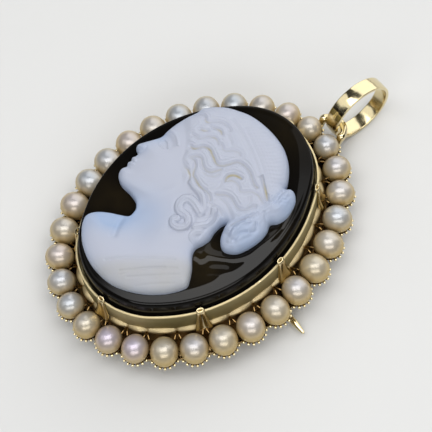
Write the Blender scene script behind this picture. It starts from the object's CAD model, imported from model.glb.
# Layered onyx cameo in a pale gold frame with a border of thirty pearls, a band bail and a brooch pin.
# Lengths in the dictionaries are millimetres in the frame of the CAD model, and angles are degrees.
import bpy
import numpy as np
from mathutils import Matrix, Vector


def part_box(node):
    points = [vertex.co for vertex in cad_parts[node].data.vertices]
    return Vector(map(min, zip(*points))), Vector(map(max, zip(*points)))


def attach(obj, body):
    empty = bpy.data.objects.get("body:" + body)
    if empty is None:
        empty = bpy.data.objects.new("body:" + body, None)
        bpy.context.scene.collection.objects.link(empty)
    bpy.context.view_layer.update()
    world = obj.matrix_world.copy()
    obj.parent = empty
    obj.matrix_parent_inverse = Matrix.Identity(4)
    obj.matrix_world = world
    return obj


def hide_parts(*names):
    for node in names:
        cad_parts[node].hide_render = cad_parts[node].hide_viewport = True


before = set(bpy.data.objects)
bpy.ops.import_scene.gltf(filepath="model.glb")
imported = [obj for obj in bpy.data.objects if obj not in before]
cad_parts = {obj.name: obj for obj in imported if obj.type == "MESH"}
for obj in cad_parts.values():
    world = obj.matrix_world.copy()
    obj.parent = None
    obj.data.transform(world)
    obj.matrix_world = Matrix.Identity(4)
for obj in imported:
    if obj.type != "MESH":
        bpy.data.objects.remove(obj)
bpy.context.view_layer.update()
mm = 0.001
full = 2 * np.pi


# Camera and light

camera = {
    "azimuth": 60.68, "elevation": 64.64, "roll": -9.65,
    "distance": 212.1, "right": 1.84, "up": 1.05, "height": -1.6,
    "lens": 150,
}


def facing(azimuth, elevation):
    # Unit vector from the jewel towards a viewer: azimuth 0 stands at -Y and turns towards +X
    a, e = np.radians([azimuth, elevation])
    return np.array([np.sin(a) * np.cos(e), -np.cos(a) * np.cos(e), np.sin(e)])


def placed(data, name, back, right, where):
    # Links an object at where, looking against back, with right to its right
    up = np.cross(back, right)
    item = bpy.data.objects.new(name, data)
    turn = np.stack([right, up, back], 1)
    item.matrix_world = Matrix([[*row, p] for row, p in zip(turn, where)] + [[0, 0, 0, 1]])
    bpy.context.scene.collection.objects.link(item)
    return item


def makeCamera(c):
    # Stands at its distance along the line of sight, then moves right, up in the picture and up in the room
    back = facing(c["azimuth"], c["elevation"])
    level = facing(c["azimuth"] + 90, 0)
    roll = np.radians(c["roll"])
    right = np.cos(roll) * level + np.sin(roll) * np.cross(back, level)
    where = back * c["distance"] + right * c["right"] + np.cross(back, right) * c["up"] + [0, 0, c["height"]]
    data = bpy.data.cameras.new("camera")
    data.lens = c["lens"]
    data.clip_start = 0.01
    bpy.context.scene.camera = placed(data, "camera", back, right, where * mm)


# Soft boxes round the jewel: where they stand, how far off, their size in metres and their watts
softBoxes = {
    "overhead": {"azimuth": 60, "elevation": 86, "distance": 0.5, "size": (0.56, 0.28), "power": 1.65},
    "front": {"azimuth": 58, "elevation": 42, "distance": 0.5, "size": (0.6, 0.18), "power": 1.05},
    "back": {"azimuth": 205, "elevation": 34, "distance": 0.6, "size": (0.9, 0.7), "power": 2.9},
    "side": {"azimuth": 316, "elevation": 46, "distance": 0.6, "size": (0.36, 0.34), "power": 0.4},
}
room = {"colour": (0.93, 0.96, 1.0), "strength": 0.05}
floorLook = {"size": 3000, "colour": (0.70, 0.70, 0.69), "roughness": 0.7}


def makeLights():
    # Each box is a lamp that faces the origin, and the room is an even glow
    for name, box in softBoxes.items():
        back = facing(box["azimuth"], box["elevation"])
        data = bpy.data.lights.new(name, "AREA")
        data.shape = "RECTANGLE"
        data.size, data.size_y = box["size"]
        data.energy = box["power"]
        placed(data, name, back, facing(box["azimuth"] + 90, 0), back * box["distance"])
    world = bpy.data.worlds.new("room")
    bpy.context.scene.world = world
    world.use_nodes = True
    sky = world.node_tree.nodes["Background"]
    sky.inputs["Color"].default_value = (*room["colour"], 1)
    sky.inputs["Strength"].default_value = room["strength"]
    bpy.context.scene.view_settings.view_transform = "Standard"


makeCamera(camera)
makeLights()
print("camera and lights are set")


# Materials

class Look:
    # A material with short calls for its nodes. All patterns run on Object coordinates or on a piece's marks,
    # which are its point attributes.
    def __init__(self, name, **sockets):
        self.material = bpy.data.materials.new(name)
        self.material.use_nodes = True
        self.tree = self.material.node_tree
        self.shader = self.tree.nodes["Principled BSDF"]
        for socket, value in sockets.items():
            self.shader.inputs[socket.replace("_", " ")].default_value = value

    def add(self, kind, inputs=(), **settings):
        # A new node with its settings, and a value or a link for each of its inputs
        node = self.tree.nodes.new("ShaderNode" + kind)
        for key, value in settings.items():
            setattr(node, key, value)
        for socket, value in dict(inputs).items():
            self.feed(node, socket, value)
        return node

    def feed(self, node, socket, value):
        if isinstance(value, bpy.types.NodeSocket):
            self.tree.links.new(value, node.inputs[socket])
        elif isinstance(value, tuple) and len(value) == 3 and node.inputs[socket].type == "RGBA":
            node.inputs[socket].default_value = (*value, 1)
        else:
            node.inputs[socket].default_value = value

    def noise(self, scale, detail=2.0, stretch=(1, 1, 1)):
        where = self.add("TexCoord").outputs["Object"]
        place = self.add("Mapping", {"Vector": where, "Scale": stretch}).outputs["Vector"]
        return self.add("TexNoise", {"Vector": place, "Scale": scale, "Detail": detail}).outputs["Fac"]

    def mark(self, name, socket="Fac"):
        # What a piece's point attribute of this name says
        return self.add("Attribute", attribute_name=name).outputs[socket]

    def spread(self, value, low, high, start=0.0, end=1.0):
        # The value's place between low and high, as a place between start and end
        return self.add("MapRange", {"Value": value, "From Min": low, "From Max": high,
                                     "To Min": start, "To Max": end}).outputs["Result"]

    def times(self, a, b):
        return self.add("Math", {0: a, 1: b}, operation="MULTIPLY").outputs[0]

    def plus(self, a, b):
        return self.add("Math", {0: a, 1: b}, operation="ADD").outputs[0]

    def blend(self, share, first, second):
        # The colour mix node has one set of sockets per data type: 6 and 7 are its colours, and 2 comes out
        node = self.add("Mix", data_type="RGBA")
        self.feed(node, 0, share)
        for socket, value in ((6, first), (7, second)):
            self.feed(node, socket, value)
        return node.outputs[2]

    def bump(self, height, strength, distance):
        inputs = {"Height": height, "Strength": strength, "Distance": distance}
        return self.add("Bump", inputs).outputs["Normal"]

    def wire(self, **links):
        # Feeds the shader and gives the finished material
        for socket, value in links.items():
            self.feed(self.shader, socket.replace("_", " "), value)
        return self.material


# The numbers named scratch, dent, rub, patch, cloud, sheen, grain and wave are the scales of noises
goldLook = {
    "clean": (0.78, 0.67, 0.41), "deep": (0.19, 0.11, 0.035), "olive": (0.26, 0.23, 0.11),
    "roughness": (0.10, 0.2), "satin": 0.5, "rub": 900, "scratch": 1500, "dent": 260, "relief": 0.00003,
}
blackLook = {
    "black": (0.004, 0.0035, 0.003), "brown": (0.019, 0.0135, 0.006), "roughness": 0.05, "gloss": (0.05, 0.2),
    "patch": 330,
}
whiteLook = {
    "white": (0.445, 0.47, 0.555), "blue": (0.32, 0.41, 0.58), "cream": (0.44, 0.38, 0.18),
    "cut": (0.30, 0.30, 0.33), "cutShare": 0.28, "roughness": (0.45, 0.6),
    "depth": 0.0004, "reach": (1.0, 1.1, 1.3), "cloud": 420, "sheen": 2600, "grain": 3800, "relief": 0.00004,
}
pearlLook = {
    "amber": (0.52, 0.39, 0.18), "roughness": 0.29, "gleam": 0.38, "edge": (0.95, 0.86, 0.60), "film": 420.0,
    "wave": 620, "relief": 0.00012, "outward": 1.09, "upward": 1.03, "dent": 0.012,
    "amberTop": 0.97, "amberRun": 0.72,
}


def goldMaterial(g):
    # Polished pale gold: browner in the corners that a cloth doesn't reach, olive and satin where a file
    # has left it
    look = Look("paleGold", Metallic=1.0)
    clean = look.blend(look.mark("olive"), g["clean"], g["olive"])
    worn = look.spread(look.noise(g["rub"], 3), 0.35, 0.7, *g["roughness"])
    scratches = look.noise(g["scratch"], 4, (1, 1, 4))
    marks = look.plus(scratches, look.times(look.noise(g["dent"], 2), 2.0))
    return look.wire(Base_Color=look.blend(look.mark("deep"), clean, g["deep"]),
                     Roughness=look.plus(worn, look.times(look.mark("satin"), g["satin"])),
                     Normal=look.bump(marks, 0.25, g["relief"]))


def blackMaterial(b):
    # Glossy black layer, let through a warm brown where it is thin
    look = Look("blackLayer", Roughness=b["roughness"], IOR=1.54)
    patches = look.times(look.mark("brown"), look.spread(look.noise(b["patch"], 3), 0.3, 0.65, 0.4, 1))
    return look.wire(Base_Color=look.blend(patches, b["black"], b["brown"]),
                     Specular_IOR_Level=look.spread(look.mark("gloss"), 0, 1, *b["gloss"]))


def whiteMaterial(w):
    # Satin white layer: bluer where it is thin, cream in the deep cuts of the hair and on the drapery
    look = Look("whiteLayer", IOR=1.54, Specular_IOR_Level=0.3, Subsurface_Weight=0.12,
                Subsurface_Scale=w["depth"], Subsurface_Radius=w["reach"])
    cloud = look.spread(look.noise(w["cloud"], 3), 0.35, 0.7)
    thin = look.blend(look.mark("thin"), w["white"], w["blue"])
    warm = look.times(look.mark("warm"), look.spread(cloud, 0, 1, 0.65, 1))
    cut = look.times(look.mark("cut"), w["cutShare"])
    return look.wire(Base_Color=look.blend(cut, look.blend(warm, thin, w["cream"]), w["cut"]),
                     Roughness=look.spread(look.noise(w["sheen"], 4), 0.3, 0.7, *w["roughness"]),
                     Normal=look.bump(look.noise(w["grain"], 3), 0.12, w["relief"]))


def pearlMaterial(p):
    # Nacre: each pearl's own tint, amber low in its cup, a broad satin gleam under a clear skin
    look = Look("nacre", Metallic=p["gleam"], Roughness=p["roughness"], IOR=1.45,
                Specular_Tint=(*p["edge"], 1), Coat_Weight=0.2, Coat_Roughness=0.25, Coat_IOR=1.5,
                Thin_Film_Thickness=p["film"], Thin_Film_IOR=1.45)
    tint = look.mark("tint", "Color")
    return look.wire(Base_Color=look.blend(look.mark("amber"), tint, p["amber"]),
                     Normal=look.bump(look.noise(p["wave"], 3), 0.4, p["relief"]))


gold, black = goldMaterial(goldLook), blackMaterial(blackLook)
white, nacre = whiteMaterial(whiteLook), pearlMaterial(pearlLook)
print("materials are made")


# Surfaces: a grid of points becomes faces, and a shell is (points, [faces of four, faces of three])

def gridOf(*axes):
    # Points from their coordinates, each of which is spread over the same rows and columns
    return np.stack(np.broadcast_arrays(*axes), -1)


def shell(points, endless=False):
    # Rows run along the grid and columns round it, where the last joins the first. An endless shell joins
    # its last row to its first too, and any other has both end rows closed by a fan to their middle.
    rows, cols = points.shape[:2]
    index = np.arange(rows * cols).reshape(rows, cols)
    index = np.hstack([index, index[:, :1]])
    if endless:
        index = np.vstack([index, index[:1]])
    places = points.reshape(-1, 3)
    faces = [np.stack([index[:-1, :-1], index[1:, :-1], index[1:, 1:], index[:-1, 1:]], -1).reshape(-1, 4)]
    for ring in () if endless else (index[0], index[-1][::-1]):
        middle = np.full(len(ring) - 1, len(places))
        places = np.vstack([places, places[ring[:-1]].mean(0)])
        faces.append(np.stack([middle, ring[:-1], ring[1:]], -1))
    return places, turnedOut(places, faces)


def turnedOut(places, faces):
    # The faces, turned over where the volume inside them comes out negative
    volume = 0
    for block in faces:
        first = places[block[:, 0]]
        for k in range(1, block.shape[1] - 1):
            volume += (first * np.cross(places[block[:, k]], places[block[:, k + 1]])).sum()
    return faces if volume > 0 else [block[:, ::-1] for block in faces]


def joined(shells):
    # Several shells as one, each keeping its own closed skin
    starts = np.cumsum([0] + [len(places) for places, faces in shells])
    return (np.vstack([places for places, faces in shells]),
            [block + start for (places, faces), start in zip(shells, starts) for block in faces])


def makePiece(name, parts, material, body="jewel", stands=(), marks=(), crease=35):
    # Puts a shell into a mesh in metres, with its marks as point attributes, and tells the frame what it is.
    # A mark is one number or a row for each point.
    places, faces = parts
    mesh = bpy.data.meshes.new(name)
    mesh.vertices.add(len(places))
    mesh.vertices.foreach_set("co", (places * mm).astype(np.float32).ravel())
    corners = np.concatenate([block.ravel() for block in faces])
    sizes = np.concatenate([np.full(len(block), block.shape[1]) for block in faces])
    mesh.loops.add(len(corners))
    mesh.loops.foreach_set("vertex_index", corners.astype(np.int32))
    mesh.polygons.add(len(sizes))
    mesh.polygons.foreach_set("loop_start", (np.cumsum(sizes) - sizes).astype(np.int32))
    mesh.polygons.foreach_set("use_smooth", np.ones(len(sizes), bool))
    mesh.update(calc_edges=True)
    mesh.validate()
    mesh.set_sharp_from_angle(angle=np.radians(crease))
    for mark, values in dict(marks).items():
        colours = np.ndim(values) == 2
        values = values if colours else np.broadcast_to(values, len(places))
        layer = mesh.attributes.new(mark, "FLOAT_COLOR" if colours else "FLOAT", "POINT")
        layer.data.foreach_set("color" if colours else "value", np.asarray(values, np.float32).ravel())
    mesh.materials.append(material)
    piece = bpy.data.objects.new(name, mesh)
    bpy.context.scene.collection.objects.link(piece)
    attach(piece, body)
    if stands:
        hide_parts(*stands)


def smoothly(points, count, closed=False):
    # A smooth curve through the points: a cubic for each step, whose slope at a point is half the way
    # between the points beside it, taken at even steps of its parameter
    p = np.asarray(points, float)
    n = len(p)
    t = np.linspace(0, n if closed else n - 1, count, endpoint=not closed)
    k = np.minimum(t.astype(int), n - 1 if closed else n - 2)
    u = (t - k)[:, None]
    a, b, c, d = (p[j % n] if closed else p[np.clip(j, 0, n - 1)] for j in (k - 1, k, k + 1, k + 2))
    square, cube = 2 * a - 5 * b + 4 * c - d, 3 * b - a - 3 * c + d
    return 0.5 * (2 * b + u * (c - a) + u ** 2 * square + u ** 3 * cube)


def ramp(value, low, high):
    # Goes smoothly from 0 to 1 as the value goes from low to high
    t = np.clip((value - low) / (high - low), 0, 1)
    return t * t * (3 - 2 * t)


def nearPath(x, y, path):
    # Each spot's distance to a path of straight steps, and its side: 1 to the path's left, -1 to its right,
    # and less towards the line ahead of an end, as the share of that distance that is square to the nearest
    # step
    best, side = np.full(x.shape, 1e9), np.zeros(x.shape)
    for (ax, ay), (dx, dy) in zip(path, np.diff(path, axis=0)):
        t = np.clip(((x - ax) * dx + (y - ay) * dy) / (dx * dx + dy * dy), 0, 1)
        gap = np.hypot(x - ax - t * dx, y - ay - t * dy)
        square = (dx * (y - ay) - dy * (x - ax)) / np.hypot(dx, dy)
        side = np.where(gap < best, square / (gap + 1e-9), side)
        best = np.minimum(best, gap)
    return best, np.clip(side, -1, 1)


def within(x, y, path):
    # True where an odd number of the closed path's steps lies to the right of the spot
    odd = np.zeros(x.shape, bool)
    for (ax, ay), (dx, dy) in zip(path, np.diff(path, axis=0)):
        crosses = (ay > y) != (ay + dy > y)
        odd ^= crosses & (x < ax + (y - ay) / (dy or 1) * dx)
    return odd


def nearStroke(x, y, points, reach):
    # Which spots lie within reach of a smooth path, with their distances and sides
    path = smoothly(points, 8 * len(points))
    low, high = path.min(0) - reach, path.max(0) + reach
    near = np.flatnonzero((x > low[0]) & (x < high[0]) & (y > low[1]) & (y < high[1]))
    return near, *nearPath(x[near], y[near], path)


def roundedOutline(corners, steps=5):
    # A closed outline of [x, y, radius] corners, each cut off by an arc that meets both its sides
    p = np.asarray(corners, float)
    here, radius = p[:, :2], p[:, 2:]
    before, after = np.roll(here, 1, 0) - here, np.roll(here, -1, 0) - here
    before /= np.linalg.norm(before, axis=1, keepdims=True)
    after /= np.linalg.norm(after, axis=1, keepdims=True)
    half = np.arccos(np.clip((before * after).sum(1, keepdims=True), -1, 1)) / 2
    middle = before + after
    middle /= np.linalg.norm(middle, axis=1, keepdims=True)
    centre = here + middle * radius / np.sin(half)
    start = here + before * radius / np.tan(half) - centre
    end = here + after * radius / np.tan(half) - centre
    t = np.linspace(0, 1, steps)[:, None, None]
    sweep = np.pi - 2 * half
    arc = centre + (np.sin((1 - t) * sweep) * start + np.sin(t * sweep) * end) / np.sin(sweep)
    return arc.transpose(1, 0, 2).reshape(-1, 2)


def tube(path, radius, sides=24):
    # A round bar: circles of the given radii carried along a path, square to it, closed at both ends
    ahead = np.gradient(path, axis=0)
    ahead /= np.linalg.norm(ahead, axis=1, keepdims=True)
    side = np.cross(ahead, [0, 0, 1.0])
    side /= np.linalg.norm(side, axis=1, keepdims=True)
    over = np.cross(side, ahead)
    turn = np.linspace(0, full, sides, endpoint=False)[None, :, None]
    ring = np.cos(turn) * side[:, None] + np.sin(turn) * over[:, None]
    return shell(path[:, None] + ring * np.broadcast_to(radius, len(path))[:, None, None])


def sphere(rows, cols):
    # Rings of latitude on a ball of radius 1, without its poles
    lift = np.linspace(-np.pi / 2, np.pi / 2, rows + 2)[1:-1, None]
    turn = np.linspace(0, full, cols, endpoint=False)[None]
    return gridOf(np.cos(lift) * np.cos(turn), np.cos(lift) * np.sin(turn), np.sin(lift))


def spotted(x, y, spots):
    # The sum of round bells, each with its centre, radius and height
    return sum(top * np.exp(-((x - cx) ** 2 + (y - cy) ** 2) / radius ** 2) for cx, cy, radius, top in spots)


# The oval through the pearls is four arcs, so every offset of it is again four arcs round the same centres

ovalSize = {
    "halfWidth": 13.86, "halfLength": 18.0, "endRadius": 11.3, "steps": 720,
    "bulge": 0.34, "bulgeAt": -22, "bulgeHalf": 32,
}
a, b, endRadius = ovalSize["halfWidth"], ovalSize["halfLength"], ovalSize["endRadius"]
sideRadius = (a * a + b * b - 2 * b * endRadius) / (2 * (a - endRadius))
sideCentre, endCentre = sideRadius - a, b - endRadius
joinTurn = np.arctan2(endCentre, sideCentre)


def bulge(turn):
    # The hand-made oval is a little fuller towards one side: a bell of this height round one turn
    away = (turn - np.radians(ovalSize["bulgeAt"]) + np.pi) % full - np.pi
    return ovalSize["bulge"] * np.exp(-(away / np.radians(ovalSize["bulgeHalf"])) ** 2)


def roundOval(turn, offset, height):
    # The point where the oval, moved outwards by offset and by its bulge, looks towards the angle turn
    side = np.abs(np.cos(turn)) > np.cos(joinTurn)
    centreX = np.where(side, -np.sign(np.cos(turn)) * sideCentre, 0)
    centreY = np.where(side, 0, np.sign(np.sin(turn)) * endCentre)
    radius = np.where(side, sideRadius, endRadius) + offset + bulge(turn)
    return gridOf(centreX + radius * np.cos(turn), centreY + radius * np.sin(turn), height)


def evenTurns(steps):
    # Angles at even steps of length round the oval, as each arc's length is its radius times its angle
    turns = np.array([0, joinTurn, np.pi - joinTurn, np.pi + joinTurn, full - joinTurn, full])
    radii = np.array([sideRadius, endRadius, sideRadius, endRadius, sideRadius])
    length = np.concatenate([[0], np.cumsum(radii * np.diff(turns))])
    return np.interp(np.linspace(0, length[-1], steps, endpoint=False), length, turns)


turns = evenTurns(ovalSize["steps"])[:, None]

# Pearls' centres and radii come from the CAD nodes
pearlNames = [f"pearl_{k:02d}" for k in range(1, 31)]
pearlBoxes = [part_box(name) for name in pearlNames]
pearlCentres = np.array([(low + high) / 2 for low, high in pearlBoxes]) / mm
pearlRadii = np.array([(high.z - low.z) / 2 for low, high in pearlBoxes]) / mm
track = evenTurns(7200)
gaps = np.linalg.norm(roundOval(track, 0, pearlCentres[0, 2])[None] - pearlCentres[:, None], axis=2)
pearlTurns = track[gaps.argmin(1)]
pearlCentres += bulge(pearlTurns)[:, None] * gridOf(np.cos(pearlTurns), np.sin(pearlTurns), 0)


def pearlPhase(turn):
    # Goes up by 1 from each pearl to the next one, and is whole at a pearl's middle
    order = np.sort(pearlTurns)
    knots = np.concatenate([order - full, order, order + full])
    return np.interp(turn, knots, np.arange(len(knots)))


# Collet: wall with its rim and seat, the ledge's lobes and the back rail

collet = {
    "wallOut": -2.46, "wallIn": -2.68, "rim": 2.42, "foot": -5.8, "seatIn": -3.35, "seat": (-0.4, -0.05),
    "ledgeOut": -1.90, "ledgeTop": -0.95, "railOut": 0.3, "rail": (-4.5, -3.9),
    "slotHalf": 0.55, "slotTop": -4.55, "slotAt": 1.5, "bead": 0.02,
    # the rim's unevenness down and out, the share of the ledge's width that stays between two pearls, the
    # rise of its lobes, and the half width of its creases
    "uneven": (0.03, 0.012), "ledgeShare": 0.62, "lobeRise": 0.2, "crease": 0.035,
    # how deep in shade the wall's foot, the ledge and the prongs are, and how olive the wall's band is
    "footShade": 0.4, "ledgeShade": 0.45, "prongShade": 0.95, "bandOlive": 0.95,
    # paler stretches of the band on the wall: [turn in radians, how far, how much]
    "worn": [[0.17, 0.16, 0.3], [-1.0, 0.05, 0.5]],
    # [distance out, height, distance apart] along a prong
    "prong": [[-2.15, -1.25, 0.06], [-1.75, -1.02, 0.15], [-1.2, -1.15, 0.36]], "prongWire": 0.09,
}


def makeWall(c):
    # One rounded profile carried round the oval. The rim is a soft bead with a hand-cut unevenness, and the
    # foot rises where the pin crosses it.
    out, inn, rim, foot = c["wallOut"], c["wallIn"], c["rim"], c["foot"]
    seatLow, seatHigh = c["seat"]
    down, outwards = c["uneven"]
    profile = roundedOutline([
        [out, foot, 0.1], [out, rim - 0.42, 0.1], [out + c["bead"], rim - 0.22, 0.03],
        [out + c["bead"], rim - 0.10, 0.04], [inn, rim, 0.06],
        [inn, seatHigh, 0.03], [c["seatIn"], seatHigh, 0.08], [c["seatIn"], seatLow, 0.08],
        [inn, seatLow, 0.03], [inn, foot, 0.1],
    ])
    offset, height = profile[:, 0], profile[:, 1]
    wave = 0.5 * np.sin(5 * turns + 1) + 0.3 * np.sin(17 * turns + 2) + 0.2 * np.sin(31 * turns)
    nearRim = np.clip((height - rim + 0.45) / 0.3, 0, 1)
    y = roundOval(turns, out, 0)[..., 1]
    slot = np.clip((c["slotHalf"] - np.abs(y - c["slotAt"])) / 0.08 + 1, 0, 1)
    slotted = np.maximum(height, c["slotTop"] + 0.05 * (height - foot))
    shaped = height - down * nearRim * (1 + wave) * (height > rim - 0.2)
    notched = np.where(height < c["slotTop"], height + slot * (slotted - height), shaped)
    points = roundOval(turns, offset + outwards * wave * nearRim, notched)
    deep = np.clip((c["ledgeTop"] + 0.35 - height) / 0.4, 0, 1) * c["footShade"]
    deep = np.broadcast_to(deep, points.shape[:2])
    # an olive band from the bead down, paler where it is worn
    band = (offset > inn + 0.05) * np.clip((rim - 0.24 - height) / 0.06, 0, 1)
    worn = sum(share * np.exp(-((np.cos(turns - turn) - 1) / half) ** 2) for turn, half, share in c["worn"])
    olive = band * (c["bandOlive"] - worn)
    return shell(points, endless=True), deep.ravel(), olive.ravel(), band.ravel()


def makeLedge(c):
    # A soft roll round the wall's foot, pinched and creased between each two pearls
    out, low = c["wallOut"], c["rail"][1] - 0.05
    phase = pearlPhase(turns)
    share = phase - np.floor(phase)
    lobe = 0.5 + 0.5 * np.cos(full * phase)
    crease = np.exp(-((share - 0.5) / c["crease"]) ** 2)
    t = np.linspace(0, 1, 16)[None]
    # a quarter of a soft oval from the wall's face over to the outer edge, then a straight drop behind the
    # cups
    narrow = c["ledgeShare"]
    width = (c["ledgeOut"] - out) * (narrow + (1 - narrow) * lobe ** 0.6 - 0.1 * crease)
    top = c["ledgeTop"] + c["lobeRise"] * lobe ** 0.7 - 0.1 * crease
    bend = 0.5 * np.pi * t
    offset = out - 0.1 + (width + 0.1) * np.sin(bend) ** 1.15
    height = top - 0.4 * (1 - np.cos(bend) ** 0.85)
    under = np.array([-0.12, -0.3, -0.6, -1.6])[None]
    offset = np.hstack([offset, offset[:, -1:] + 0.5 * under * [[1, 1, 0.5, 0.2]], 0 * turns + out - 0.1])
    height = np.hstack([height, height[:, -1:] + under, 0 * turns + low])
    height[:, -2] = low
    points = roundOval(turns, offset, height)
    shade = np.clip(crease + 0.5 * (1 - lobe), 0, 1)[:, :1] * np.ones(points.shape[1])
    shade = np.maximum(c["ledgeShade"] * shade, np.clip((-1.35 - height) / 0.3, 0, 1))
    return shell(points, endless=True), np.maximum(shade, c["ledgeShade"]).ravel(), 0.05, 0.7


def makeRail(c):
    # A flat rounded band round the back, under the cups
    (low, high), inn, out = c["rail"], c["wallOut"] - 0.1, c["railOut"]
    profile = roundedOutline([[inn, low, 0.05], [out, low, 0.14], [out, high, 0.14], [inn, high, 0.05]])
    points = roundOval(turns, profile[:, 0], profile[:, 1])
    shade = np.broadcast_to(0.1 + 0.8 * (profile[:, 1] > high - 0.1), points.shape[:2])
    return shell(points, endless=True), shade.ravel()


def withMarks(made):
    # Joins (shell, deep, olive, satin) sets into one shell with three marks. A mark may be one number or
    # missing, and the fans' middles get the mark of the ring before them.
    shells = [parts[0] for parts in made]
    marks = {}
    for k, name in enumerate(("deep", "olive", "satin"), 1):
        rows = [np.atleast_1d(parts[k] if k < len(parts) else 0.0).astype(float) for parts in made]
        marks[name] = np.concatenate([np.pad(row, (0, len(each[0]) - len(row)), mode="edge")
                                      for row, each in zip(rows, shells)])
    return joined(shells), marks


def makeProngs(c):
    # Two thin wires in a V from each crease of the ledge to the pearls at its sides
    order = np.sort(pearlTurns)
    made = []
    for turn in (order + np.append(order[1:], order[0] + full)) / 2:
        along = np.array([-np.sin(turn), np.cos(turn), 0])
        for side in (-1, 1):
            path = [roundOval(turn, out, height) + side * apart * along for out, height, apart in c["prong"]]
            made.append(tube(smoothly(path, 6), c["prongWire"], 6))
    return joined(made), c["prongShade"]


parts, marks = withMarks([makeWall(collet), makeLedge(collet), makeRail(collet), makeProngs(collet)])
makePiece("collet", parts, gold, stands=["gold_frame"], marks=marks)
print("collet is made")


# Pearl cups: fluted, with a grain on the tip of each rib

cups = {
    "deep": 2.4, "foot": 0.92, "lip": 0.95, "wall": -0.06, "gap": 0.03, "outward": 1.035,
    "ribs": 18, "ribOut": 0.16, "dent": 0.06,
    "grain": 0.19, "grainOut": 0.05, "grainDown": 0.88, "keepOff": 65,
}


def makeCup(c, radius):
    # Profile from the middle of the foot up the outside, over the lip and down a bowl that follows the pearl.
    # Ribs stand out from the cup as the peaks of a cosine round it, and widen towards the lip.
    across = np.linspace(0, full, c["ribs"] * 6, endpoint=False)
    seat = radius + c["gap"]
    lift = np.linspace(0, 1, 6)
    outer = gridOf(c["foot"] + (radius + c["wall"] - c["foot"]) * lift ** 0.8,
                   -c["deep"] + 0.1 + (c["deep"] - 0.1 - c["lip"]) * lift)
    start = -np.arcsin((c["lip"] + 0.04) / seat)
    bowl = np.linspace(start, -np.pi / 2 + 0.12, 6)
    inner = gridOf(seat * np.cos(bowl), seat * np.sin(bowl))
    profile = np.vstack([[[c["foot"] - 0.12, -c["deep"]]], outer, inner])
    weight = np.concatenate([[0], 0.3 + 0.7 * lift, np.zeros(6)])[:, None]
    rib = (0.5 + 0.5 * np.cos(across * c["ribs"])) ** 1.3
    r = profile[:, :1] + weight * (c["ribOut"] * rib - c["dent"] * (1 - rib))
    faceOut = np.clip(np.cos(across) * 2 - 0.2, 0, 1)
    shade = np.broadcast_to(np.where(weight > 0, 1 - 0.9 * rib * faceOut, 0.9), r.shape)
    return shell(gridOf(r * np.cos(across), r * np.sin(across), profile[:, 1:])), shade.ravel()


def makeGrains(c, radius):
    # A row of small balls on the ribs' tips, left out where the neighbouring cups and the ledge are
    turn = np.arange(c["ribs"]) * full / c["ribs"]
    away = np.abs((turn + np.pi) % full - np.pi)
    turn = turn[away < np.radians(c["keepOff"])]
    reach = radius + c["grainOut"]
    places, faces = shell(sphere(4, 8))
    places[-2:, 2] = -1, 1
    spots = gridOf(reach * np.cos(turn), reach * np.sin(turn), -c["grainDown"])
    return [(places * c["grain"] + spot, faces) for spot in spots]


def stretched(places, turn, share):
    # Stretches along the direction turn in the flat of the jewel
    n = np.array([np.cos(turn), np.sin(turn), 0])
    return places + (share - 1) * (places @ n)[:, None] * n


made = []
for centre, radius, turn in zip(pearlCentres, pearlRadii, pearlTurns):
    c, s = np.cos(turn), np.sin(turn)
    turned = np.array([[c, s, 0], [-s, c, 0], [0, 0, 1]])
    cup, shade = makeCup(cups, radius)
    for (places, faces), mark in [(cup, shade)] + [(grain, 0.0) for grain in makeGrains(cups, radius)]:
        made.append(((stretched(places @ turned, turn, cups["outward"]) + centre, faces), mark))
parts, marks = withMarks(made)
makePiece("pearlCups", parts, gold, marks=marks)
print("pearl cups are made")


# Claws: a leaf that leans on the wall, narrows upwards and ends in a small ring over the rim

claws = {
    "turns": [102, 41, 10, -23, 282, 221, 190, 157],
    # [distance out from the wall's face, height, half thickness, half width] from the foot to the tip
    "spine": [[0.60, -1.30, 0.14, 1.00], [0.56, -1.0, 0.24, 1.04], [0.36, -0.6, 0.30, 0.94],
              [0.22, 0.0, 0.27, 0.80], [0.15, 0.7, 0.23, 0.68], [0.11, 1.5, 0.21, 0.58],
              [0.09, 2.1, 0.20, 0.50], [0.03, 2.5, 0.18, 0.48], [-0.08, 2.66, 0.12, 0.42]],
    # depth of the hollow, shade on the leaf and further shade in the hollow
    "hollow": 0.3, "shade": (0.1, 0.2),
    "ring": {
        "wide": 0.37, "deep": 0.20, "wire": 0.15, "out": -0.02, "height": 2.72, "tilt": 20, "shade": 0.35,
    },
}


def onWall(turn, out, across, height):
    # Points this far out from the wall's face and this far along it, where it looks towards the angle turn
    x, y, _ = roundOval(turn, collet["wallOut"], 0)
    n, s = (np.cos(turn), np.sin(turn)), (-np.sin(turn), np.cos(turn))
    return gridOf(x + out * n[0] + across * s[0], y + out * n[1] + across * s[1], height)


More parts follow.
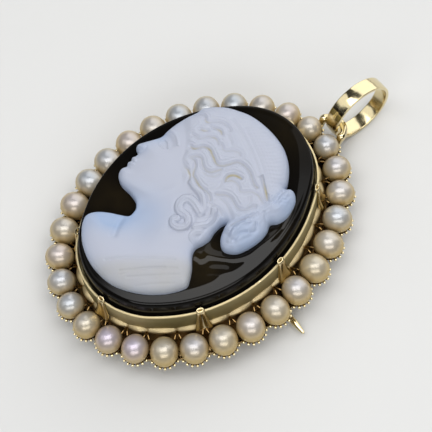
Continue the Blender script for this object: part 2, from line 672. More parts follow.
def makeClaw(c, turn):
    # Ovals carried up a spine that leans on the wall. The front swells at both sides and is hollow between
    # them. The ring is an oval of wire that tips outwards.
    out, height, thick, wide = smoothly(c["spine"], 40).T[..., None]
    ahead = np.concatenate([np.gradient(out, axis=0), np.gradient(height, axis=0)], 1)
    ahead /= np.linalg.norm(ahead, axis=1, keepdims=True)
    v = np.linspace(0, full, 40, endpoint=False)[None]
    along = np.linspace(0, 1, 40)[:, None]
    across = wide * np.sign(np.cos(v)) * np.abs(np.cos(v)) ** 0.8
    front = np.clip(np.sin(v), 0, 1)
    hollow = np.cos(1.33 * np.pi * np.cos(v)) * ramp(along, 1.0, 0.6)
    lift = thick * (np.sign(np.sin(v)) * np.abs(np.sin(v)) ** 0.7 - c["hollow"] * hollow * front ** 0.5)
    leaf = onWall(turn, out + lift * ahead[:, 1:], across, height - lift * ahead[:, :1])
    shade = np.broadcast_to(c["shade"][0] + c["shade"][1] * front * np.clip(hollow, 0, 1), lift.shape)
    ring, tilt = c["ring"], np.radians(c["ring"]["tilt"])
    u = np.linspace(0, full, 24, endpoint=False)[:, None]
    w = np.linspace(0, full, 12, endpoint=False)[None]
    side = (ring["wide"] + ring["wire"] * np.cos(w)) * np.cos(u)
    reach = (ring["deep"] + ring["wire"] * np.cos(w)) * np.sin(u)
    rise = ring["wire"] * np.sin(w) - reach * np.sin(tilt)
    eye = onWall(turn, ring["out"] + reach * np.cos(tilt), side, ring["height"] + rise)
    return [(shell(leaf), shade.ravel()), (shell(eye, endless=True), ring["shade"])]


parts, marks = withMarks([part for turn in claws["turns"] for part in makeClaw(claws, np.radians(turn))])
makePiece("claws", parts, gold, marks=marks)
print("claws are made")


# Loop for the bail: a wire bent to an arc, thicker at its two knuckles, on legs that run down to the cups

loop = {
    "y": 19.7, "z": -1.75, "radius": 1.69, "wire": 0.45, "open": 16,
    "leg": 1.5, "lean": 30, "legWire": 0.42, "knuckle": 0.53, "knuckleHalf": 0.42, "shade": 0.1,
}


def makeLoop(c):
    # A bar along an arc in the flat of the jewel, with a straight leg down from each of its ends
    turn = np.radians(np.linspace(c["open"], 180 - c["open"], 48))
    arc = gridOf(c["radius"] * np.cos(turn), c["y"] + c["radius"] * np.sin(turn), c["z"])
    lean = np.radians(c["lean"])
    drop = np.array([0, -np.sin(lean), -np.cos(lean)]) * c["leg"]
    share = np.linspace(1, 0.12, 10)[:, None]
    path = np.vstack([arc[0] + drop * share, arc, arc[-1] + drop * share[::-1]])
    step = np.linalg.norm(path - arc[0], axis=1)
    other = np.linalg.norm(path - arc[-1], axis=1)
    knuckle = np.exp(-(np.minimum(step, other) / c["knuckleHalf"]) ** 2)
    onArc = np.concatenate([np.zeros(10), np.ones(48), np.zeros(10)])
    radius = c["legWire"] + (c["wire"] - c["legWire"]) * onArc
    radius = radius + (c["knuckle"] - radius) * knuckle
    return tube(path, radius)


makePiece("bailLoop", makeLoop(loop), gold, marks={"deep": loop["shade"]}, crease=60)


# Bail: a flat band with rounded edges, swept round its own middle

bail = {"y": 24.05, "z": -1.52, "radius": 4.198, "width": 1.9, "thick": 0.45, "edge": 0.13, "dome": 0.03}


def makeBail(c):
    # A rounded band's profile, with its width along x, carried round a circle that stands across the jewel
    out, inn, half = c["radius"], c["radius"] - c["thick"], c["width"] / 2
    low, edge = out - c["dome"], c["edge"]
    profile = roundedOutline([[-half, inn, edge], [half, inn, edge], [half, low, edge], [0, out, 0.6],
                              [-half, low, edge]], 7)
    turn = np.linspace(0, full, 160, endpoint=False)[:, None]
    x, r = profile[:, 0], profile[:, 1]
    return shell(gridOf(x, c["y"] + r * np.cos(turn), c["z"] + r * np.sin(turn)), endless=True)


makePiece("bandBail", makeBail(bail), gold, body="bail", stands=["bail"], marks={"deep": 0})


# Brooch pin with its hinge and catch at the back

pin = {
    "y": 1.5, "z": -5.05, "hinge": -12.9, "tip": 17.3,
    "stem": 0.42, "point": 0.16, "taper": 1.7, "round": 0.14,
    "eye": (0.31, 0.5, 0.8), "ear": (0.62, 0.5, 0.08), "rivet": 0.28, "railUnder": -4.5,
    "catch": 12.3, "hook": (0.47, 0.7, 1.2), "mouth": 40, "shade": 0.1,
}


def makeSlab(outline, thick, bevel):
    # A flat plate with softened edges: the outline drawn in a little at both faces
    middle = outline.mean(0)
    half, small = thick / 2, 1 - 2 * bevel
    rows = [(-half, small), (-half + bevel, 1), (half - bevel, 1), (half, small)]
    points = np.stack([np.insert(middle + (outline - middle) * size, 1, y, axis=1) for y, size in rows])
    return shell(points)


def makePin(c):
    # A round eye and a straight bar that tapers over its last stretch to a rounded point
    (low, high, wide), taper = c["eye"], c["taper"]
    half = wide / 2
    turn = np.linspace(0, full, 48, endpoint=False)[:, None]
    profile = roundedOutline([[low, -half, 0.07], [high, -half, 0.09], [high, half, 0.09], [low, half, 0.07]])
    r, y = profile.T
    eye = gridOf(c["hinge"] + r * np.cos(turn), c["y"] + y, c["z"] + r * np.sin(turn))
    along = np.concatenate([np.linspace(c["hinge"] + 0.38, c["tip"] - taper, 40),
                            c["tip"] - taper * np.linspace(0.95, 0, 20)])
    left = np.clip((c["tip"] - along) / taper, 0, 1)
    radius = np.where(left < 1, c["point"] + (c["stem"] - c["point"]) * left ** 0.85, c["stem"])
    end = 1 - np.clip((c["tip"] - along) / c["round"], 0, 1)
    radius = radius * np.sqrt(np.clip(1 - end ** 2, 0.02, 1))
    return joined([shell(eye, endless=True), tube(gridOf(along, c["y"], c["z"]), radius)])


def makeHinge(c):
    # Two ears that hang from the rail, each a plate with a half round foot, and the rivet through them
    earRadius, earThick, gap = c["ear"]
    bottom = np.linspace(np.pi, full, 16)
    top = c["railUnder"] + 0.1 - c["z"]
    ear = np.vstack([gridOf(earRadius * np.cos(bottom), earRadius * np.sin(bottom)),
                     [[earRadius, top], [-earRadius, top]]])
    ear += [c["hinge"], c["z"]]
    reach = c["eye"][2] / 2 + gap + earThick / 2
    ears = []
    for side in (-1, 1):
        places, faces = makeSlab(ear, earThick, 0.05)
        ears.append((places + [0, c["y"] + side * reach, 0], faces))
    rivet = tube(np.array([[c["hinge"], c["y"] + t * (reach + 0.3), c["z"]] for t in (-1, -0.96, 0.96, 1)]),
                 np.array([0.8, 1, 1, 0.8]) * c["rivet"])
    return joined(ears + [rivet])


def makeCatch(c):
    # A band bent into a C round the stem, its mouth towards the bail
    low, high, wide = c["hook"]
    band = roundedOutline([[low, 0, 0.05], [high, 0, 0.07], [high, wide, 0.07], [low, wide, 0.05]])
    turn = np.radians(np.linspace(c["mouth"], 360 - c["mouth"], 60))[:, None]
    r, x = band.T
    return shell(gridOf(c["catch"] + x, c["y"] + r * np.cos(turn), c["z"] + r * np.sin(turn)))


makePiece("pinStem", makePin(pin), gold, stands=["brooch_pin"], marks={"deep": 0})
fittings = joined([makeHinge(pin), makeCatch(pin)])
makePiece("hingeAndCatch", fittings, gold, marks={"deep": pin["shade"]})
print("loop, bail and pin are made")


# Black layer: a flat field with a faint fall and a rounded shoulder at its edge, then a steep flank

ground = {
    "girdle": -2.93, "girdleTop": 2.25, "flank": -3.05, "shoulder": 0.7, "fall": (1.0, 0.2), "field": 4.7,
    # the sides where the edge is crisp, its fall wide and the polish glossy: their turn, and the cosines
    # between which they set in
    "crisp": (150, -0.2, 0.7), "wideFall": (15, 0.3, 0.85), "glossy": (-14, 0.3, 0.95),
    # waves that the polish has left: half width, rise, and points along the crest
    "waves": [(0.42, 0.10, [[4.9, -2.5], [5.7, -2.9], [6.5, -2.7], [7.6, -1.8], [8.5, -0.8], [9.0, 0.5],
                            [9.0, 2.0], [9.1, 3.4], [9.2, 5.0]]),
              (0.85, 0.18, [[5.2, -3.9], [6.0, -3.7]]), (0.7, 0.08, [[7.6, -4.3], [8.8, -2.9]])],
    # brown spots: [x, y, radius, strength]
    "brown": [[6.5, -4.2, 3.0, 1.0], [-6.2, -7.0, 3.2, 0.6], [-1, 13.2, 4.5, 0.45], [9.0, 5.0, 2.0, 0.5],
              [-9.6, 8.5, 2.5, 0.4]],
}


def onSide(turn, at, low, high):
    # 1 on the side round the angle at and 0 on the far side, by the cosine of the turn between them
    return ramp(np.cos(turn - np.radians(at)), low, high)


def makeGround(c):
    # Rings from the middle of the field out over the edge and under to the middle of the back. The edge is
    # crisper on the far side, and its fall is widest on the side of the waves.
    turn = turns[::2]
    crisp = onSide(turn, *c["crisp"])
    start, drop = np.array(c["fall"])[:, None, None] * (0.6 + 0.4 * onSide(turn, *c["wideFall"]))
    size = c["shoulder"] - 0.35 * crisp
    drop = drop - 0.13 * crisp
    edge = c["flank"] + 0.08 * crisp - size
    t = np.linspace(0, 1, 9)
    bend = np.radians(np.linspace(8, 90, 8))
    girdle, top = c["girdle"], c["girdleTop"]
    offset, height = np.array([
        [c["flank"] + 0.09, top + 0.8], [girdle - 0.02, top + 0.05], [girdle, top],
        [girdle, 0.15], [girdle - 0.05, 0.04], [girdle - 0.15, 0],
    ]).T
    shoulder = c["field"] - drop - (size - 0.5 * drop) * (1 - np.cos(bend))
    offset = np.hstack([edge - start * (1 - t), edge + size * np.sin(bend), 0 * turn + offset])
    height = np.hstack([c["field"] - drop * t ** 2, shoulder, 0 * turn + height])
    outer = roundOval(turn, offset, height)
    share = np.linspace(0.02, 0.99, 70)[None, :, None]
    field = outer[:, :1] * [1, 1, 0] * share + [0, 0, c["field"]]
    back = outer[:, -1:] * [1, 1, 0] * np.linspace(0.9, 0.1, 4)[None, :, None]
    points = np.concatenate([field, outer, back], 1).transpose(1, 0, 2)
    x, y, z = points[..., 0], points[..., 1], points[..., 2]
    for halfWidth, rise, crest in c["waves"]:
        near, away, _ = nearStroke(x.ravel(), y.ravel(), crest, 3 * halfWidth)
        lifted = z.ravel()
        onField = np.clip(10 * (lifted[near] - c["field"]) + 1, 0, 1)
        lifted[near] += onField * rise * np.exp(-(away / halfWidth) ** 2)
        z = points[..., 2] = lifted.reshape(z.shape)
    onTop = np.clip((z - c["field"] + 0.6) / 0.3, 0, 1)
    marks = {"brown": np.clip(spotted(x, y, c["brown"]), 0, 1) * onTop,
             "gloss": onTop * (0.15 + 0.85 * onSide(turn.T, *c["glossy"]))}
    return shell(points), {name: np.pad(mark.ravel(), (0, 2)) for name, mark in marks.items()}


groundShell, marks = makeGround(ground)
makePiece("blackLayer", groundShell, black, stands=["cameo_ground"], marks=marks, crease=50)
print("black layer is made")


# White layer: a relief over a fine grid of squares inside the bust's outline

relief = {
    "step": 0.065, "quickStep": 0.13, "under": 4.4, "field": 4.7, "top": 2.46,
    # the carved side's height, then how far and how softly the rounded edge goes on rising inwards
    "side": 0.6, "edge": (0.4, 0.11), "pillow": (0.7, 1.2),
    "hairRise": 0.26, "lockDepth": 0.26, "grooveDepth": 0.10, "grooveRun": 0.13, "comb": (0.45, 0.02),
    "lockRun": 0.42, "lap": 0.06, "strand": 0.36, "strandRise": 0.065,
    "hairBand": [[-4.8, 9.3], [0.5, 8.2], [3.0, 7.3], [5.9, 5.9]], "strandFade": 0.9, "lapRun": 0.35,
    # strands of the knot and of the curls, the groove beside a cord, and how far in the forms fade
    "knotStrand": (0.45, 0.02), "curlStrand": 0.11, "cordGroove": 0.15, "formRun": 0.5,
    # blue along the rim, how far in, and blue of the knot; then the cloth's share of cream and of cut
    "rimBlue": (0.5, 0.5), "knotBlue": 0.15, "cloth": (0.3, 0.7),
    "hairline": [[-10, 5.6], [-9, 5.3], [-8, 4.9], [-6.6, 4.2], [-5.2, 3.0], [-4.2, 1.7], [-3.0, 0.9],
                 [-1.9, 0.2], [-0.6, 0.1], [1.5, 0.0], [3, -0.8], [5.2, -2], [9, -3]],
}
bustEdge = [
    [-8.7, 6.9], [-8.7, 7.7], [-8.3, 8.5], [-7.7, 9.3], [-6.9, 10.1], [-5.8, 10.8], [-4.4, 11.5],
    [-2.8, 11.9],
    [-1, 12.05], [0.6, 11.95], [2, 11.6], [3.4, 10.9], [4.5, 10], [5.3, 9.1], [5.6, 8.6],
    [6.1, 9.1], [6.7, 9.1], [7.4, 8.6], [8.0, 7.5], [8.3, 6.4], [8.2, 5.4], [7.8, 4.6],
    [8.3, 3.7], [8.6, 2.4], [8.5, 0.7], [8.1, -0.6], [7.2, -1.4], [6.4, -1.4], [5.6, -0.8], [4.95, 0.2],
    [4.6, 0.9],
    [4.35, 0.2], [4.5, -0.9], [4.85, -1.8], [4.9, -2.7], [4.75, -3.7], [5.2, -4.6], [6.4, -5.6],
    [7.3, -6.6], [7.75, -7.4],
    [7.4, -8.6], [6.7, -9.9], [5.5, -11.4], [3.8, -12.8], [2, -13.7], [0, -14.05], [-2, -13.95], [-4, -13.3],
    [-5.6, -12.2], [-6.4, -11.2], [-6.4, -10.4], [-5.9, -9.5], [-5, -8.6], [-4.1, -7.9], [-3.3, -7.2],
    [-3.3, -6.5],
]
# A plain classical profile on textbook thirds
faceEdge = [
    [-3.6, -5.9], [-4.4, -5.45], [-5.6, -5.35], [-6.9, -5.45], [-7.8, -5.25], [-8.4, -4.75], [-8.6, -4.15],
    [-8.45, -3.6], [-8.75, -3.2], [-8.7, -2.8], [-8.95, -2.45], [-8.85, -2.0], [-8.95, -1.6], [-9.6, -1.35],
    [-9.85, -0.85], [-9.6, -0.1], [-9.2, 0.9], [-8.9, 1.8], [-9.0, 2.6], [-9.1, 3.8], [-9.0, 5.3],
]
# Grooves between the waved locks, from the forehead to the knot: strength, and points along the groove
waveLines = [
    (0.7, [[-8.4, 6.3], [-8.0, 6.8], [-7.5, 7.1], [-7.1, 7.1], [-6.8, 6.85], [-6.5, 6.8], [-6.2, 7.0],
           [-5.9, 7.5], [-5.5, 7.95],
           [-5.0, 8.2], [-4.4, 8.3], [-3.8, 8.2]]),
    (0.8, [[-5.4, 6.85], [-4.9, 7.1], [-4.4, 7.25], [-4.0, 7.1]]),
    (0.7, [[-6.1, 5.65], [-5.75, 5.8], [-5.45, 6.15]]),
    (0.7, [[-6.2, 4.5], [-5.7, 4.65], [-5.25, 4.8], [-5.0, 5.2], [-4.8, 5.6], [-4.45, 5.95], [-4.0, 6.2],
           [-3.6, 6.15], [-3.2, 6.0]]),
    (1.0, [[-5.1, 3.4], [-4.7, 3.5], [-4.4, 3.9], [-4.2, 4.4], [-3.8, 4.7], [-3.2, 4.8], [-2.75, 4.65],
           [-2.2, 4.5], [-1.6, 4.3],
           [-1.1, 4.35], [-0.7, 4.7], [-0.4, 5.3], [-0.2, 5.9], [0.1, 6.3], [0.7, 6.55], [1.4, 6.6],
           [2.1, 6.5], [2.8, 6.2], [3.4, 6.0], [3.9, 6.0]]),
    (0.6, [[-3.0, 6.2], [-2.6, 6.1], [-2.3, 5.95], [-1.9, 6.1], [-1.6, 6.5], [-1.25, 6.85], [-0.8, 7.05],
           [-0.4, 6.95]]),
    (0.35, [[-3.3, 7.6], [-2.9, 7.4], [-2.5, 7.3], [-2.1, 7.1]]),
    (0.8, [[-3.95, 2.6], [-3.75, 3.0], [-3.4, 3.3], [-3.0, 3.35], [-2.6, 3.1], [-2.1, 2.9], [-1.5, 2.85],
           [-1.0, 3.1], [-0.7, 3.6], [-0.5, 4.2]]),
    (0.4, [[-1.5, 2.4], [-0.9, 2.5], [-0.5, 2.8], [-0.2, 3.1], [-0.15, 3.6]]),
    (0.8, [[-4.0, 2.5], [-3.4, 2.6], [-3.0, 2.45], [-2.7, 2.2], [-2.4, 1.8], [-2.0, 1.35], [-1.6, 1.3],
           [-1.0, 1.15], [-0.3, 1.1],
           [0.5, 1.25], [1.2, 1.2], [1.7, 0.95]]),
    (0.8, [[-4.0, 1.3], [-3.5, 1.2], [-3.0, 1.3], [-2.6, 1.2], [-2.2, 1.05], [-1.95, 0.7], [-1.8, 0.3],
           [-1.5, 0.0]]),
    (1.0, [[1.0, 3.7], [0.78, 4.0], [0.75, 4.4], [0.95, 4.8], [1.25, 5.05], [1.6, 5.2], [1.9, 5.3]]),
    (0.6, [[1.15, 3.8], [1.4, 4.2], [1.8, 4.45], [2.2, 4.5], [2.6, 4.4], [3.0, 4.15], [3.35, 4.35],
           [3.7, 4.75], [4.1, 5.2], [4.8, 5.4],
           [5.4, 5.3], [6.0, 5.3]]),
    (0.8, [[1.6, 1.9], [1.9, 2.2], [2.2, 2.55], [2.6, 2.8], [3.1, 2.9], [3.6, 2.8], [4.3, 2.7],
           [4.8, 2.85], [5.2, 3.3], [5.4, 3.9], [5.6, 4.35]]),
    (0.35, [[0.9, 3.2], [1.1, 2.7], [1.05, 2.2], [0.8, 1.7]]),
    (0.5, [[1.9, 0.6], [2.3, 0.7], [2.8, 0.85], [3.2, 1.0], [3.8, 0.9]]),
    (1.0, [[3.1, 7.3], [3.7, 7.05], [4.4, 6.7], [5.2, 6.3], [5.85, 5.9]]),
    (0.35, [[-4.8, 9.3], [-3.0, 9.1], [-1.2, 8.65], [0.5, 8.2], [1.8, 7.75], [3.0, 7.3]]),
    (0.25, [[-2.6, 9.7], [-0.9, 9.2], [0.8, 8.65], [2.2, 8.15], [3.6, 7.5], [5.2, 6.6]]),
    (0.9, [[6.35, 3.6], [6.15, 3.0], [5.9, 2.3], [5.65, 1.6], [5.5, 0.9]]),
    (0.4, [[4.4, 4.6], [4.9, 4.1], [5.0, 3.5]]),
    (0.35, [[2.4, 1.9], [3.2, 2.0], [4.2, 1.8], [5.0, 1.5]]),
    (0.5, [[2.7, 0.3], [3.0, -0.6], [3.0, -1.4], [2.8, -2.1]]),
    (0.5, [[3.6, 0.4], [4.0, -0.5], [4.0, -1.5], [3.8, -2.3], [4.0, -3.0]]),
]
# Soft swellings: centre x, centre y, half length, half width, turn of the length, rise
swells = [
    [-1.0, 5.5, 8.0, 5.5, 0, 0.45], [-6.2, -0.8, 2.6, 2.6, 0, 0.30], [-8.3, 2.9, 1.6, 0.6, -8, 0.16],
    [-7.7, 1.5, 1.2, 0.9, 0, -0.30], [-9.35, -0.5, 0.7, 1.3, -20, 0.22], [-8.5, -2.8, 0.9, 0.8, 0, 0.14],
    [-8.0, -4.5, 0.9, 0.8, 0, 0.18], [-1.5, -6.0, 2.2, 4.0, 30, -0.28], [1.4, -5.6, 2.6, 1.5, 60, 0.28],
    [1.8, -10.5, 6.5, 2.6, 40, 0.25], [-3.6, -10.4, 2.6, 2.6, 0, 0.10], [-4.1, -8.6, 1.8, 1.4, -60, -0.45],
    [6.9, 6.9, 1.2, 1.6, 0, 0.30], [6.9, 1.6, 1.3, 2.4, 0, 0.35], [3.2, -1.6, 1.2, 2.0, 10, 0.15],
    [-4.8, -4.2, 2.6, 0.8, 22, 0.16], [-3.0, -6.3, 0.9, 1.6, 0, -0.2],
]
# Curls, lids and lips that stand up like cords: half width, rise, and points along the middle
cords = [
    (0.50, 0.22, [[-1.5, 0.75], [-0.6, 0.6], [0.3, 0.62], [1.1, 0.38], [1.75, -0.15], [2.1, -0.8]]),
    (0.62, 0.34, [[2.15, -0.85], [1.5, -0.72], [0.7, -0.64], [-0.05, -0.78], [-0.4, -1.35], [-0.22, -2.05],
                  [0.35, -2.45], [1.0, -2.4]]),
    (0.50, 0.38, [[0.95, -2.4], [1.6, -2.3], [2.2, -2.65], [2.35, -3.3], [1.95, -3.95], [1.25, -4.1],
                  [0.8, -3.7], [1.02, -3.32]]),
    (0.45, 0.26, [[2.9, 0.6], [3.5, -0.1], [3.7, -1.0], [3.4, -1.8], [3.1, -2.4]]),
    (0.40, 0.22, [[4.2, 0.5], [4.4, -0.3], [4.35, -1.2], [4.5, -2.0], [4.7, -2.8]]),
    (0.45, 0.20, [[3.9, -2.2], [3.6, -2.8], [3.8, -3.4], [4.4, -3.4]]),
    (0.15, 0.13, [[-8.35, 1.5], [-8.0, 1.85], [-7.4, 1.8], [-6.75, 1.35]]),
    (0.12, 0.08, [[-8.2, 1.1], [-7.8, 0.88], [-7.1, 1.0]]),
    (0.22, 0.10, [[-8.9, 2.75], [-8.2, 3.1], [-7.2, 3.0], [-6.3, 2.5]]),
    (0.24, 0.12, [[-8.95, -2.42], [-8.4, -2.45], [-7.9, -2.62]]),
    (0.26, 0.12, [[-8.85, -3.08], [-8.35, -3.12], [-7.95, -2.88]]),
    (0.33, 0.14, [[-9.1, -0.95], [-8.85, -0.75]]),
]
# Soft ridges and cuts: half width, rise or depth, and points along the middle
cuts = [
    (0.12, -0.13, [[-8.95, -2.76], [-8.2, -2.78], [-7.75, -2.70]]),
    (0.16, -0.10, [[-8.7, -0.35], [-8.45, -0.9], [-8.65, -1.35]]),
    (0.25, -0.08, [[-8.5, -3.62], [-7.9, -3.6]]),
    (0.30, -0.10, [[-8.5, 2.25], [-7.6, 2.4], [-6.8, 2.05]]),
    (0.45, 0.08, [[-7.2, -5.0], [-5.5, -4.6], [-3.8, -3.8], [-2.8, -2.6], [-2.3, -1.2]]),
    (0.26, -0.30, [[6.0, 8.2], [6.2, 7.5], [6.4, 6.9], [6.6, 6.35]]),
    (0.16, -0.20, [[6.8, 4.75], [7.3, 4.5], [7.9, 4.2]]),
    (0.16, -0.10, [[6.2, 5.9], [6.2, 5.0], [6.35, 4.2], [6.75, 3.6], [7.0, 3.3]]),
    (0.16, -0.26, [[7.3, 3.2], [7.65, 2.9], [7.85, 2.5], [7.75, 2.05]]),
    (0.20, -0.30, [[7.4, 1.6], [7.15, 1.2], [7.05, 0.7], [7.25, 0.1]]),
    (0.22, 0.10, [[7.1, 5.6], [7.5, 6.2], [7.6, 7.0], [7.3, 7.8]]),
    (0.25, 0.12, [[8.3, 2.8], [8.5, 1.6], [8.2, 0.3], [7.6, -0.5]]),
    (0.15, -0.10, [[6.1, 2.9], [5.9, 1.8], [5.9, 0.8], [6.3, -0.2]]), (0.15, -0.10, [[7.0, 2.6],
                   [6.8, 1.6], [6.8, 0.6], [7.2, -0.5]]),
    (0.15, -0.08, [[8.0, 2.9], [8.1, 1.9], [7.8, 0.9]]), (0.14, -0.08, [[6.9, 8.4], [7.1, 7.4], [7.0, 6.5]]),
    (0.25, 0.12, [[6.6, 2.4], [6.4, 1.4], [6.5, 0.3], [7.0, -0.5]]),
    (0.16, -0.12, [[3.0, -0.5], [2.5, -0.95], [2.1, -1.45], [2.5, -2.05], [2.75, -2.6], [2.85, -3.2]]),
    (0.16, -0.10, [[4.7, -6.6], [2.9, -8.6], [1.0, -10.8], [-0.2, -12.6]]),
    (0.12, -0.05, [[4.9, -8.1], [3.3, -10.2], [2.3, -12.4]]), (0.12, -0.05, [[6.9, -8.4], [5.4, -10.4],
                   [4.4, -11.9]]),
    (0.45, 0.05, [[5.4, -6.7], [3.3, -9.0], [1.3, -11.6], [0.4, -13.2]]),
    (0.13, -0.07, [[5.8, -7.0], [3.9, -9.3], [1.9, -12.2]]),
    (0.14, -0.07, [[6.6, -7.2], [4.8, -9.6], [3.0, -12.0]]),
    (0.40, -0.26, [[-3.8, -6.9], [-3.4, -8.0], [-2.7, -9.2], [-2.1, -10.0]]),
]
# Where the layer is thin and lets the black through as blue, and where it has stayed cream:
# x, y, radius and strength
thinSpots = [
    [-4.1, -8.7, 1.8, 1.3], [-9.0, 1.7, 1.1, 0.5], [7.1, 1.4, 2.2, 0.45], [7.2, 7.3, 1.5, 0.4],
    [-5.8, -10.8, 1.8, 0.4], [-8.9, -0.6, 1.0, 0.25], [-2.0, -6.0, 2.8, 0.6],
]
creamSpots = [
    [-6.5, 6.85, 0.35, 0.9], [-4.4, 7.2, 0.5, 1.0], [-5.75, 5.8, 0.35, 0.9], [-4.1, 6.2, 0.4, 0.7],
    [-3.2, 4.8, 0.6, 1.0], [-2.1, 4.5, 0.5, 0.7], [-4.6, 3.5, 0.4, 0.6], [-2.6, 1.2, 0.6, 1.2],
    [-0.8, 1.15, 0.7, 0.9], [0.9, 4.6, 0.7, 1.0], [1.5, 5.15, 0.4, 1.0], [4.9, 6.45, 0.9, 1.3],
    [-1.0, 4.0, 3.5, 0.25], [1.5, 3.0, 3.5, 0.15],
]


def hairAt(r, x, y):
    # Waved locks: a groove along each wave line, where the lock above laps over the lock below, and a round
    # back between the lines, with finer strands at even distances from the nearest one.
    gap, side, force, groove = np.full(x.shape, 3.0), np.zeros(x.shape), np.zeros(x.shape), np.zeros(x.shape)
    for strength, line in waveLines:
        near, away, hand = nearStroke(x, y, line, 1.3)
        closer = away < gap[near]
        gap[near] = np.where(closer, away, gap[near])
        side[near] = np.where(closer, strength * hand, side[near])
        force[near] = np.where(closer, strength, force[near])
        groove[near] = np.maximum(groove[near], strength * np.exp(-(away / r["grooveRun"]) ** 2))
    edge = np.interp(x, *smoothly(r["hairline"], 90).T)
    mass = ramp(y - edge, -0.5, 0.8)
    back = 0.2 - force * np.exp(-(gap / r["lockRun"]) ** 2)
    fade = np.exp(-gap / r["strandFade"]) * ramp(gap, 0.08, 0.3)
    strands = force * np.cos(full * gap / r["strand"] + 0.6) * fade
    lap = side * np.exp(-gap / r["lapRun"]) * ramp(gap, 0, 0.1)
    # behind the band the hair is combed smooth, in faint strands that fan out to the edge
    past = y - np.interp(x, *np.transpose(r["hairBand"]))
    wide, rise = r["comb"]
    comb = rise * np.cos(full * (x - 0.35 * past + 0.15 * np.sin(2 * past)) / wide) * ramp(past, 0.4, 1.0)
    h = r["lockDepth"] * back + r["strandRise"] * strands + r["lap"] * lap + r["hairRise"] + comb
    return (h - r["grooveDepth"] * groove) * mass, mass * groove ** 1.6


def reliefHeight(r, x, y, d):
    # Height over the field at distance d in from the outline: a steep side, a rounded edge, a soft pillow
    # and the forms, which fade towards the outline
    (edgeRise, edgeRun), (pillowRise, pillowRun) = r["edge"], r["pillow"]
    h = np.zeros(x.shape)
    for cx, cy, long, wide, turn, rise in swells:
        c, s = np.cos(np.radians(turn)), np.sin(np.radians(turn))
        along, across = (x - cx) * c + (y - cy) * s, (y - cy) * c - (x - cx) * s
        h += rise * np.exp(-(along / long) ** 2 - (across / wide) ** 2)
    hair, grooves = hairAt(r, x, y)
    curls = ramp(y, 0.3, -0.3) * ramp(x, -2.5, -1.2)
    h += hair * (1 - 0.8 * curls)
    knot = ramp(x, 5.5, 6.0) * ramp(y, -2, -1) * (1 - ramp(y, 8.9, 9.4))
    strand, strandRise = r["knotStrand"]
    h += strandRise * knot * np.cos(full * d / strand) * ramp(d, 0.3, 0.7)
    # cords are round bars of which the highest shows, with a thin groove along their free sides. The wide
    # ones are curls and have fine strands along them.
    cord, groove = np.zeros(x.shape), np.zeros(x.shape)
    for halfWidth, rise, points in cords:
        near, away, _ = nearStroke(x, y, points, 2 * halfWidth)
        t, curl = away / halfWidth, halfWidth > 0.4
        fine = r["curlStrand"] * np.cos(1.6 * full * t) * curl
        back = np.clip(1 - t ** 2, 0, 1) ** (1.1 if curl else 0.6)
        cord[near] = np.maximum(cord[near], rise * (back + fine * (t < 1)))
        groove[near] = np.maximum(groove[near], r["cordGroove"] * rise * np.exp(-((t - 1) / 0.25) ** 2))
    h += cord - groove * np.exp(-cord / 0.08)
    for halfWidth, rise, points in cuts:
        near, away, _ = nearStroke(x, y, points, 3 * halfWidth)
        h[near] += rise * np.exp(-(away / halfWidth) ** 2)
    h *= 1 - np.exp(-d / r["formRun"])
    h += r["side"] + edgeRise * (1 - np.exp(-d / edgeRun)) + pillowRise * (1 - np.exp(-d / pillowRun))
    return h, grooves


def cutGrid(outline, low, high, step):
    # Squares of a grid with a corner inside the outline stay, and their corners outside move to its nearest
    # point. Gives the points' x and y, their distances in from the outline, and the squares.
    x, y = np.meshgrid(*(np.arange(start - step, end + 2 * step, step) for start, end in zip(low, high)))
    inside = within(x, y, outline)
    kept = inside[:-1, :-1] | inside[1:, :-1] | inside[1:, 1:] | inside[:-1, 1:]
    used = np.zeros(x.shape, bool)
    for dy, dx in ((0, 0), (0, 1), (1, 0), (1, 1)):
        used[dy:dy + kept.shape[0], dx:dx + kept.shape[1]] |= kept
    number = np.cumsum(used).reshape(used.shape) - 1
    squares = np.stack([number[:-1, :-1], number[:-1, 1:], number[1:, 1:], number[1:, :-1]], -1)[kept]
    x, y, isIn = x[used], y[used], inside[used]
    away = np.hypot(x[~isIn][:, None] - outline[:, 0], y[~isIn][:, None] - outline[:, 1])
    x[~isIn], y[~isIn] = outline[away.argmin(1)].T
    return x, y, np.where(isIn, nearPath(x, y, outline)[0], 0), squares


def skirted(squares, total):
    # The border's steps are those that the squares walk one way only. Each goes down to a new point at the
    # foot, and the feet in their order round the border close the underside as one face. The order comes
    # from hops along the border that double in length.
    starts, ends = squares.ravel(), np.roll(squares, -1, axis=1).ravel()
    alone = ~np.isin(starts * total + ends, ends * total + starts)
    starts, ends = starts[alone], ends[alone]
    foot = np.full(total, -1)
    foot[starts] = total + np.arange(len(starts))
    skirt = np.stack([starts, foot[starts], foot[ends], ends], 1)
    rank, hop = np.ones(len(starts), int), foot[ends] - total
    last = np.flatnonzero(hop == 0)[0]
    hop[last], rank[last] = last, 0
    for _ in range(int(np.ceil(np.log2(len(starts))))):
        rank, hop = rank + rank[hop], hop[hop]
    return starts, skirt, (total + np.argsort(rank))[None]


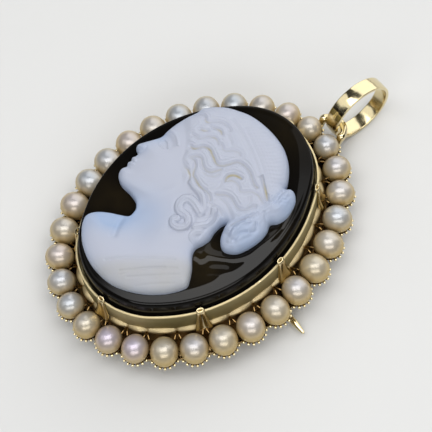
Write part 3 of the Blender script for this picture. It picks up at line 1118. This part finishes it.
def makeRelief(r):
    # The outline is fitted to the CAD node, and the grid in it is lifted by the relief's height over the field
    outline = smoothly(bustEdge + faceEdge, 1500, closed=True)
    outline = np.vstack([outline, outline[:1]])
    low, high = (np.array(corner)[:2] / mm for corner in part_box("cameo_figure"))
    drawnLow, drawnHigh = outline.min(0), outline.max(0)
    outline = low + (outline - drawnLow) * (high - low) / (drawnHigh - drawnLow)
    x, y, d, squares = cutGrid(outline, low, high, r["step"])
    h, grooves = reliefHeight(r, x, y, d)
    h *= min(1, r["top"] / h.max())
    border, skirt, base = skirted(squares, len(x))
    places = np.vstack([gridOf(x, y, r["field"] + h), gridOf(x[border], y[border], r["under"])])
    (rimBlue, rimRun), (clothCream, clothCut) = r["rimBlue"], r["cloth"]
    blue = rimBlue * np.exp(-d / rimRun) + r["knotBlue"] * ramp(x, 5.4, 6.2) * ramp(y, -2, 0)
    cloth = ramp(x - 0.8 * y, 8.5, 12)
    marks = {"thin": spotted(x, y, thinSpots) + blue, "cut": grooves + clothCut * cloth,
             "warm": spotted(x, y, creamSpots) * grooves + clothCream * cloth}
    marks = {name: np.pad(np.clip(mark, 0, 1), (0, len(border)), mode="edge") for name, mark in marks.items()}
    return (places, [squares, skirt, base]), marks


reliefShell, marks = makeRelief(relief)
makePiece("whiteRelief", reliefShell, white, stands=["cameo_figure"], marks=marks, crease=60)
print("white relief is made")


# Pearls: near-round, each with its own tint and overtone

# For each kind two colours and the strength of its amber
pearlTints = {
    "cream": ((0.53, 0.50, 0.46), (0.50, 0.49, 0.51), 1.0),
    "rose": ((0.54, 0.48, 0.46), (0.53, 0.50, 0.49), 1.0),
    "gold": ((0.54, 0.49, 0.39), (0.53, 0.50, 0.46), 1.0),
    "lilac": ((0.53, 0.48, 0.57), (0.52, 0.50, 0.54), 0.85),
    "silver": ((0.46, 0.50, 0.55), (0.49, 0.50, 0.53), 0.9),
}
# From the top clockwise, charted by eye
pearlOrder = (
    "silver cream cream silver cream gold cream gold rose gold cream gold lilac lilac gold "
    "silver silver rose gold rose silver silver rose cream silver silver silver cream rose cream"
).split()
rng = np.random.default_rng(30)


def makePearl(centre, radius, outTurn, kind, outward, upward):
    # A ball a little longer outwards and upwards, dented by a few slow waves, cosines along directions of
    # their own
    first, second, amber = kind
    unit = sphere(28, 44)
    ways = rng.normal(size=(5, 3))
    ways /= np.linalg.norm(ways, axis=1, keepdims=True)
    swing = rng.uniform(0, full, 5)
    waves = np.cos(unit @ ways.T * [1.5, 2, 2.5, 3, 4] + swing)
    dent = 0.5 - 0.5 * (waves @ [0.35, 0.25, 0.18, 0.12, 0.1])
    places, faces = shell(unit * (radius * (1 - pearlLook["dent"] * dent))[..., None])
    places[-2:] = np.array([[0, 0, -1], [0, 0, 1]]) * radius * (1 - pearlLook["dent"] / 2)
    places = stretched(places, outTurn, outward) * [1, 1, upward] + centre
    share = np.clip(0.5 + 0.9 * (waves[..., 1] * 0.5 + waves[..., 3] * 0.35), 0, 1)[..., None]
    tint = (1 - share) * np.array(first) + share * np.array(second)
    tint = np.concatenate([tint, np.ones(share.shape)], 2).reshape(-1, 4)
    low = np.clip((pearlLook["amberTop"] - unit[..., 2]) / pearlLook["amberRun"], 0, 1).ravel() ** 0.8 * amber
    tint = np.vstack([tint, tint[:1], tint[-1:]])
    return (places, faces), {"tint": tint, "amber": np.append(low, [amber, 0])}


for name, kind, centre, radius, turn in zip(pearlNames, pearlOrder, pearlCentres, pearlRadii, pearlTurns):
    # the two beside the bail stay round, so that it swings clear of them
    besideBail = name in (pearlNames[0], pearlNames[-1])
    longer = (1, 1) if besideBail else (pearlLook["outward"], pearlLook["upward"])
    parts, marks = makePearl(centre, radius, turn, pearlTints[kind], *longer)
    makePiece("nacre" + name[-3:], parts, nacre, stands=[name], marks=marks, crease=80)
print("pearls are made")


# Floor

def makeFloor():
    # A square as low as the jewel's foot
    half = floorLook["size"] / 2 * mm
    mesh = bpy.data.meshes.new("floor")
    z = collet["foot"] * mm
    corners = [(-half, -half, z), (half, -half, z), (half, half, z), (-half, half, z)]
    mesh.from_pydata(corners, [], [(0, 1, 2, 3)])
    look = Look("floor", Roughness=floorLook["roughness"])
    mesh.materials.append(look.wire(Base_Color=floorLook["colour"]))
    item = bpy.data.objects.new("floor", mesh)
    bpy.context.scene.collection.objects.link(item)


makeFloor()
